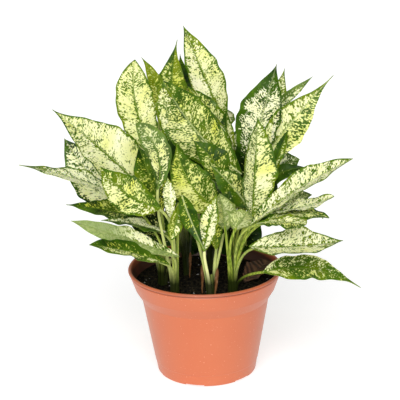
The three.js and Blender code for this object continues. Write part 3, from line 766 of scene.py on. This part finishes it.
fine, patches = noise(tree, spot, FLECK_MM, 1.5), noise(tree, spot, PATCH_MM, 1.0)
two_sizes = {FACTOR: PATCH_SHARE, VALUE_A: fine, VALUE_B: patches}
flecks = add(tree, "ShaderNodeMix", two_sizes).outputs[MIXED_VALUE]
density = noise(tree, spot, DENSITY_MM, 1.0)
greener = calculate(tree, "MULTIPLY_ADD", density, DENSITY_SWING, -DENSITY_SWING / 2)
raised_cut = calculate(tree, "ADD", from_mesh(tree, "cut"), greener)
under_cut = calculate(tree, "SUBTRACT", raised_cut, flecks)
is_green = remap(tree, under_cut, (-EDGE_SOFTNESS, EDGE_SOFTNESS))

tint = noise(tree, spot, TINT_MM, 3.0)
tint_swing = calculate(tree, "MULTIPLY_ADD", tint, TINT_SWING, -TINT_SWING / 2)
warmth = calculate(tree, "ADD", warm, tint_swing, clamp=True)
darkness = calculate(tree, "ADD", dark, tint_swing, clamp=True)
shades = add(tree, "ShaderNodeValToRGB", {"Fac": darkness})
steps = shades.color_ramp.elements
steps[0].color, steps[1].color = OLIVE, SHADE_GREEN
steps.new(GREEN_STEP).color = GREEN
steps.new(DEEP_GREEN_STEP).color = DEEP_GREEN

pale_part = blend_colours(tree, warmth, CREAM, BUTTER)
speckled = blend_colours(tree, is_green, pale_part, shades.outputs["Color"])
rib_colour = blend_colours(tree, pale_rib, RIB_GREEN, RIB_PALE)
ribbed = blend_colours(tree, rib_line, speckled, rib_colour)
# Painted sheen: grey mixed into the colour where the coat asks for it.
with_painted_sheen = blend_colours(tree, painted_sheen, ribbed, PAINTED_SHEEN_GREY)
lower_share = calculate(tree, "MULTIPLY", on_lower, UNDER_SHARE)
paint(tree, shader, blend_colours(tree, lower_share, with_painted_sheen, UNDERSIDE))
dullness = remap(tree, on_lower, (0.0, 1.0), (UPPER_ROUGHNESS, LOWER_ROUGHNESS))
tree.links.new(dullness, shader.inputs["Roughness"])
add_bump(tree, shader, flecks, CELL_STRENGTH, CELL_DEPTH)
print("nodes in the leaf:", len(tree.nodes))


# %% Blades
def blade_piece(name, form, seed, finish, slot, relief=VEIN_RELIEF, ruffle=RUFFLE):
    upper, lower, place = blade_grid(form, seed, relief, ruffle)
    spot, cut_value, tone_value, line_value = coat_values(form, place, seed)
    points = np.concatenate([upper, lower[:, ::-1]], axis=1)

    def both(values):
        doubled = np.concatenate([values, values[:, ::-1]], axis=1)
        return doubled.reshape(-1, *values.shape[2:])

    on_lower = np.concatenate([0 * upper[..., :1], 0 * lower[..., :1] + 1], axis=1).reshape(-1, 1)
    values = {
        "spot": both(spot), "cut": both(cut_value), "tone": both(tone_value),
        "lines": np.concatenate([both(line_value), on_lower], axis=1),
    }  # fmt: skip
    faces = [face[::-1] for face in ring_faces(STATIONS, 2 * ACROSS)]
    return make_piece(name, points.reshape(-1, 3), faces, finish, slot, values)


forms = [leaf_form(*row) for row in LEAVES]
counts = {}
for seed, form in enumerate(forms, 1):
    shoot = form["shoot"]
    counts[shoot] = counts.get(shoot, 0) + 1
    name = f"shoot_{shoot}_leaf_{counts[shoot]}"
    blade = blade_piece(name, form, seed, leaf_tissue, "speckled_leaf")
    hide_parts(f"shoot_{shoot}")
print("leaves on each shoot:", counts)

# %% [markdown]
# ## Stalks
#
# Each leaf stands on a petiole, a juicy stalk that is grooved on its upper side. At its foot it
# widens to a sheath that wraps the stem, and the sheaths hide the stem almost wholly. The
# stalks are tubes along the same curves as the solids, with the groove and the sheath worked
# into the section. A curve with a bevel would be quicker, but here the groove has to keep to
# the leaf's upper side.

# %% Stalk geometry
SHOOTS = [
    {"foot": (-42, -12), "lean": (3, 6)},
    {"foot": (-28, -38), "lean": (0, 1)},
    {"foot": (6, -43), "lean": (0, 1)},
    {"foot": (24, -35), "lean": (3, 0)},
    {"foot": (-16, 12), "lean": (-1, 4)},
    {"foot": (25, 2), "lean": (4, 4)},
    {"foot": (8, 24), "lean": (1, 4)},
]
SOIL_TOP, STEM_FOOT, STEM_HEIGHT, STEM_END = 92, 62, 34, 6
PETIOLE_INTO_BLADE, BLADE_THICKNESS = 0.12, 0.9
PETIOLE_RADIUS, SHEATH_RADIUS, TAPER_SPAN = 1.3, 1.6, 0.6
FOOT_OFFSET, FOOT_DEPTH = 3.4, 1
RISE_OF_REACH, RISE_OF_HEIGHT, ARRIVAL = 0.35, 0.6, 0.33
STALK_GROOVE, GROOVE_ANGLE, GROOVE_SPREAD = 0.28, math.pi / 2, 0.6
SHEATH_FLARE, SHEATH_SPAN = 0.3, (0.0, 0.25)
PETIOLE_STATIONS, PETIOLE_SIDES = 36, 16
STEM_SECTIONS = [(-3, 3.4), (10, 2.8), (22, 1)]  # height over the soil, and radius
STEM_RINGS, STEM_SIDES = 20, 40
STEM_LOBES, LOBE_DEPTH, LOBE_TWIST = 5, 0.07, 0.05


def stem_point(shoot, height):
    share = (height - STEM_FOOT) / (SOIL_TOP + STEM_HEIGHT - STEM_FOOT)
    (x, y), (lean_x, lean_y) = shoot["foot"], shoot["lean"]
    return np.array([x + lean_x * share, y + lean_y * share, height])


def stalk_rings(shoot, form, height):
    """Sections of a stalk that leaves the stem upright and meets the blade along its midrib."""
    centre, along, up, _ = midrib_frame(form, PETIOLE_INTO_BLADE)
    end = centre - up * BLADE_THICKNESS
    axis = stem_point(shoot, height)
    outward = unit(np.array([end[0] - axis[0], end[1] - axis[1], 0]))
    start = stem_point(shoot, SOIL_TOP - FOOT_DEPTH) + outward * FOOT_OFFSET
    reach = np.linalg.norm(end - start)
    rise = RISE_OF_REACH * reach + (height - SOIL_TOP) * RISE_OF_HEIGHT
    second, third = start + np.array([0, 0, rise]), end - along * ARRIVAL * reach
    t = np.linspace(0, 1, PETIOLE_STATIONS)[:, None]
    s = 1 - t
    route = s**3 * start + 3 * s * s * t * second + 3 * s * t * t * third + t**3 * end
    run = unit(s * s * (second - start) + 2 * s * t * (third - second) + t * t * (end - third))
    side = unit(np.cross(run, form["up"]))
    over = np.cross(side, run)
    angle = np.arange(PETIOLE_SIDES) * 2 * math.pi / PETIOLE_SIDES
    radius = SHEATH_RADIUS + (PETIOLE_RADIUS - SHEATH_RADIUS) * np.minimum(t / TAPER_SPAN, 1)
    groove = 1 - STALK_GROOVE * bell(angle - GROOVE_ANGLE, GROOVE_SPREAD)
    sheath = 1 + SHEATH_FLARE * (1 - ease(SHEATH_SPAN, t))
    wide = (radius * sheath * np.cos(angle))[..., None]
    high = (radius * groove * np.sin(angle))[..., None]
    return route[:, None, :] + side[:, None, :] * wide + over[:, None, :] * high


def stem_rings(shoot):
    rises, radii = zip(*STEM_SECTIONS)
    heights = np.linspace(SOIL_TOP + rises[0], SOIL_TOP + rises[-1], STEM_RINGS)
    angle = np.arange(STEM_SIDES) * 2 * math.pi / STEM_SIDES
    rings = []
    for height, radius in zip(heights, np.interp(heights - SOIL_TOP, rises, radii)):
        lobed = radius * (1 + LOBE_DEPTH * np.cos(STEM_LOBES * angle + LOBE_TWIST * height))
        ring = np.stack([np.cos(angle) * lobed, np.sin(angle) * lobed, 0 * angle], -1)
        rings.append(stem_point(shoot, height) + ring)
    return np.array(rings)


# %% [markdown]
# A stalk is paler and yellower than the blade, with fine lengthwise lines. Noise that is
# stretched upwards makes them. Near the soil it is painted almost black green, as painted shade
# low in the plant, where the leaves keep the light out. Each stalk has a tint of its own, which
# turns it to cream.

# %% Stalk finish
# The last colour is painted shade, for the stalks low in the plant, where little light gets in.
STALK_PALE, STALK_GREEN, STALK_SHADE = linear("#AAB64C"), linear("#547014"), linear("#141C04")
STALK_CREAM = linear("#E6E8A0")
LINE_MM, LINE_SQUEEZE, LINE_SPAN = 1.1, 0.06, (0.35, 0.65)
CREAM_PER_TINT = 0.45
FOOT_SHADE_SPAN, FOOT_SHADE_SHARE = (0.12, 0.26), 0.97

stalk_look = {"Roughness": 0.4, "IOR": 1.45, "Specular IOR Level": 0.15}
stalk_tissue, tree, shader = new_finish("leaf_stalk", stalk_look)
line_noise = noise(tree, place_in_piece(tree, LINE_SQUEEZE), LINE_MM * MM, 2.0)
line_share = remap(tree, line_noise, LINE_SPAN)
lined = blend_colours(tree, line_share, STALK_GREEN, STALK_PALE)
cream_share = calculate(tree, "MULTIPLY", from_mesh(tree, "tint"), CREAM_PER_TINT)
tinted = blend_colours(tree, cream_share, lined, STALK_CREAM)
# Painted shade: the feet of the stalks turn nearly black green.
foot_shade_share = remap(tree, from_mesh(tree, "rise"), FOOT_SHADE_SPAN, (FOOT_SHADE_SHARE, 0.0))
paint(tree, shader, blend_colours(tree, foot_shade_share, tinted, STALK_SHADE))
print("nodes in the stalk:", len(tree.nodes))

# %% [markdown]
# The stem and the stalks of a shoot are one piece, because they grow as one. Each point knows
# how high it stands over the soil, as a share of a span, and the painted shade of the foot fades
# out over it. Two shoots stand in the middle and get little light, so their painted shade
# reaches higher up. Two others are greener than the rest, and one stalk in front is almost cream.

# %% Stalks
# Heights over which the painted shade of the feet fades, higher in the two inner shoots.
RISE_SPAN, INNER_SPAN, INNER_SHOOTS = 110, 260, (5, 7)
GREENER_SHOOTS, GREENER_BY = (4, 6), 0.6
PALE_STALK, PALEST, STEM_TINT = (3, 2), 2.2, 0.3

luck = np.random.default_rng(11)
for number, shoot in enumerate(SHOOTS, 1):
    own = [form for form in forms if form["shoot"] == number]
    span = INNER_SPAN if number in INNER_SHOOTS else RISE_SPAN
    points, faces, rises, tints = [], [], [], []

    def take(rings, tint):
        start = sum(map(len, points))
        skin = ring_faces(len(rings), rings.shape[1])
        faces.extend(tuple(start + i for i in face) for face in skin)
        points.append(rings.reshape(-1, 3))
        rises.append(((rings[..., 2] - SOIL_TOP) / span).ravel())
        tints.append(np.full(rings[..., 0].size, tint))

    take(stem_rings(shoot), STEM_TINT)
    for order, form in enumerate(own):
        height = SOIL_TOP + STEM_END + (STEM_HEIGHT - 2 * STEM_END) * order / len(own)
        tint = luck.random() - (GREENER_BY if number in GREENER_SHOOTS else 0)
        if (number, order) == PALE_STALK:
            tint = PALEST
        take(stalk_rings(shoot, form, height), tint)
    values = {"rise": np.concatenate(rises), "tint": np.concatenate(tints)}
    name = f"shoot_{number}_stalks"
    stalks = make_piece(name, np.vstack(points), faces, stalk_tissue, "speckled_leaf", values)
    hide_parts(f"shoot_{number}")
    print(name, "carries", len(own), "leaves")

# %% [markdown]
# ## Soil
#
# Potting soil is mostly dark peat fibre, wet and nearly black, with a few grey bits of perlite.
# Its wet colour here is darker still, as painted shade under the leaves.
# A bump alone would look painted from the side, so the surface itself is rough, and some 900
# crumbs of peat lie on it as small lumps of their own.

# %% Peat
SOIL_SIDE = [(0, 3.3), (46.3, 3.3), (47.6, 6.3), (49.2, 13.7), (60.6, 76.9), (66.6, 86.9), (67.9, 92)]
SOIL_RADIUS = SOIL_SIDE[-1][0]
SOIL_CROWN, SOIL_RINGS, SOIL_TURNS = 1.5, 40, 160
ROUGH_RADIUS, SOIL_ROUGHNESS, ROUGHEST, NEAR_TOP = 67, 0.9, 1.2, 0.01
# The wet colour is darker than wet peat alone, as painted shade under the leaves.
WET_PEAT_IN_SHADE, PEAT_DRY = linear("#060503"), linear("#38301F")
CLOD_MM, DRY_SPAN, CLOD_STRENGTH, CLOD_DEPTH = 3.0, (0.45, 0.75), 0.9, 1.2

peat_look = {"Roughness": 0.85, "IOR": 1.4, "Specular IOR Level": 0.15}
peat, tree, shader = new_finish("moist_peat_in_painted_shade", peat_look)
clods = noise(tree, place_in_piece(tree), CLOD_MM * MM, 4.0)
paint(tree, shader, blend_colours(tree, remap(tree, clods, DRY_SPAN), WET_PEAT_IN_SHADE, PEAT_DRY))
add_bump(tree, shader, clods, CLOD_STRENGTH, CLOD_DEPTH)


def soil_height(radius):
    return SOIL_TOP + SOIL_CROWN * (1 - radius / SOIL_RADIUS)


chance = np.random.default_rng(7)
inner_radii = [SOIL_RADIUS * ring / SOIL_RINGS for ring in range(SOIL_RINGS - 1, -1, -1)]
soil_profile = SOIL_SIDE + [(radius, soil_height(radius)) for radius in inner_radii]
soil_points, soil_faces = turned(np.array(soil_profile, float), SOIL_TURNS)
from_axis = np.hypot(soil_points[:, 0], soil_points[:, 1])
on_top = (soil_points[:, 2] > SOIL_TOP - NEAR_TOP) & (from_axis < ROUGH_RADIUS)
bumps = chance.normal(0, SOIL_ROUGHNESS / 2, on_top.sum())
soil_points[on_top, 2] += bumps.clip(-ROUGHEST, ROUGHEST)
soil = make_piece("peat_soil", soil_points, soil_faces, peat, "peat")
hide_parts("soil")
print("points of rough soil:", on_top.sum())

# %% [markdown]
# Crumbs and perlite are the same kind of lump in another size and colour. Each is an
# octahedron whose faces are split in four, with every point moved in or out a little. Perlite
# is glass that was puffed up by heat. Its pores are far too fine for the picture, so they are
# drawn half a millimetre wide.

# %% Crumbs and perlite
CRUMBS, CRUMB_SIZES, CRUMB_SQUASH = 900, (0.6, 2.0), 0.6
BITS, BIT_SIZES, BIT_SQUASH = 46, (0.6, 1.3), 0.8
STREWN_RADIUS, LIFTED = 66, 0.3
LUMP_SHAPES, LUMP_DENTS = (0.6, 1.2), (0.85, 1.1)
PORE_MM, PORE_GREY, PERLITE_GREY = 0.5, linear("#6E6A66"), linear("#A6A4A4")


def split_octahedron():
    """Corners, middles of the edges, and four triangles for each of the eight faces."""
    seeds = np.array([(1, 0, 0), (0, 1, 0), (-1, 0, 0), (0, -1, 0), (0, 0, 1), (0, 0, -1)], float)
    top, bottom = 4, 5
    around = [(k, (k + 1) % 4) for k in range(4)]
    edges = around + [(k, pole) for pole in (top, bottom) for k in range(4)]
    ball = np.vstack([seeds, [unit(seeds[a] + seeds[b]) for a, b in edges]])
    middle = {frozenset(edge): len(seeds) + i for i, edge in enumerate(edges)}
    shell = []
    for a, b, c in [(k, n, top) for k, n in around] + [(n, k, bottom) for k, n in around]:
        ab, bc, ca = (middle[frozenset(pair)] for pair in ((a, b), (b, c), (c, a)))
        shell += [(a, ab, ca), (ab, b, bc), (ca, bc, c), (ab, bc, ca)]
    return ball, shell


def lumps(count, sizes, squash):
    """Small uneven lumps, strewn over the soil."""
    ball, shell = split_octahedron()
    points, faces = [], []
    for lump in range(count):
        radius = STREWN_RADIUS * math.sqrt(chance.random())
        angle = 2 * math.pi * chance.random()
        size = chance.uniform(*sizes)
        shape = ball * chance.uniform(*LUMP_SHAPES, 3) * size
        shape = shape * chance.uniform(*LUMP_DENTS, (len(ball), 1))
        turn = 2 * math.pi * chance.random()
        cosine, sine = math.cos(turn), math.sin(turn)
        spin = np.array([[cosine, -sine, 0], [sine, cosine, 0], [0, 0, squash]])
        rest = soil_height(radius) + LIFTED * size
        place = np.array([radius * math.cos(angle), radius * math.sin(angle), rest])
        points.append(shape @ spin + place)
        faces += [tuple(lump * len(ball) + i for i in face) for face in shell]
    return np.vstack(points), faces


perlite, tree, shader = new_finish("perlite", {"Roughness": 0.8, "IOR": 1.5})
pore_cells = {"Vector": place_in_piece(tree), "Scale": 1 / (PORE_MM * MM)}
pores = add(tree, "ShaderNodeTexVoronoi", pore_cells).outputs["Distance"]
paint(tree, shader, blend_colours(tree, pores, PORE_GREY, PERLITE_GREY))
make_piece("peat_crumbs", *lumps(CRUMBS, CRUMB_SIZES, CRUMB_SQUASH), peat, "peat")
make_piece("perlite_bits", *lumps(BITS, BIT_SIZES, BIT_SQUASH), perlite, "peat")
print("crumbs and bits of perlite:", CRUMBS, BITS)

# %% [markdown]
# ## Withered leaf and dry sheaths
#
# One leaf has died off and lies on the soil against the wall of the pot. A dry leaf keeps its
# veins and loses the flesh between them, so it is ribbed much more deeply than a live one, and
# it is brown and dull. Between the stalks stand three dry sheaths, what is left of old leaves:
# narrow papery strips with fine strands along them. Both are made as blades, because that is
# what they were, with other numbers and a finish of their own.

# %% Dry finishes
DRY_BROWN, DRY_TAN = linear("#2E1C10"), linear("#66452E")
RIB_MM, RIB_WANDER, RIB_DETAIL = 5.0, 9.0, 3.0
SHEATH_BROWN, SHEATH_STRAW = linear("#3E2610"), linear("#8C5E32")
STRAND_MM, STRAND_SQUEEZE = 0.9, 0.1

dry_tissue, tree, shader = new_finish("dry_leaf_tissue", {"Roughness": 0.7, "IOR": 1.45})
spot = from_mesh(tree, "spot", "Vector")
# The bands of a wave texture are pi / 10 apart at scale 1, so this scale sets their spacing.
bands = {"Vector": spot, "Scale": 0.1 * math.pi / RIB_MM}
wander = {"Distortion": RIB_WANDER, "Detail": RIB_DETAIL}
rib_waves = add(tree, "ShaderNodeTexWave", {**bands, **wander}, bands_direction="Y")
paint(tree, shader, blend_colours(tree, rib_waves.outputs["Fac"], DRY_BROWN, DRY_TAN))

sheath_tissue, tree, shader = new_finish("dry_sheath_tissue", {"Roughness": 0.6, "IOR": 1.45})
strands = noise(tree, place_in_piece(tree, STRAND_SQUEEZE), STRAND_MM * MM, 2.0)
paint(tree, shader, blend_colours(tree, strands, SHEATH_BROWN, SHEATH_STRAW))

# %% Withered leaf and dry sheaths
DRY_RELIEF, DRY_RUFFLE, DRY_SEED, SHEATH_SEED = 0.7, 0.8, 90, 50
PLAIN = "cream cream green"  # the dry finishes read no coat, so any will do
DRY_SHEATHS = [
    [5, [-15.3, 4.0, 90], [-13.8, 4.0, 120.0], 2.2],
    [3, [-3.3, -36.0, 90], [-2.3, -36.0, 123.6], 2.6],
    [3, [8.4, -47.5, 90], [11.6, -47.5, 122.7], 2.8],
]
SHEATH_FORM = [[0, -1, 0.1], 0.8, 0, 20, 0.6]
WITHERED = [0, [38, -13, 93.4], [63, 20, 102.8], 27, [-0.35, -0.5, 1], 1.5, 0, 8, 0.7]

for shoot, *strip in DRY_SHEATHS:
    form, name = leaf_form(shoot, *strip, *SHEATH_FORM, PLAIN), f"shoot_{shoot}_dry_sheath"
    sheath = blade_piece(name, form, SHEATH_SEED, sheath_tissue, "dry_leaf", 0, 0)
    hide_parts(f"shoot_{shoot}")

dry_form, dry_shape = leaf_form(*WITHERED, PLAIN), (DRY_RELIEF, DRY_RUFFLE)
withered = blade_piece("withered_leaf_brown", dry_form, DRY_SEED, dry_tissue, "dry_leaf", *dry_shape)
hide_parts("withered_leaf")
print("withered leaf's length, mm:", round(dry_form["length"], 1))
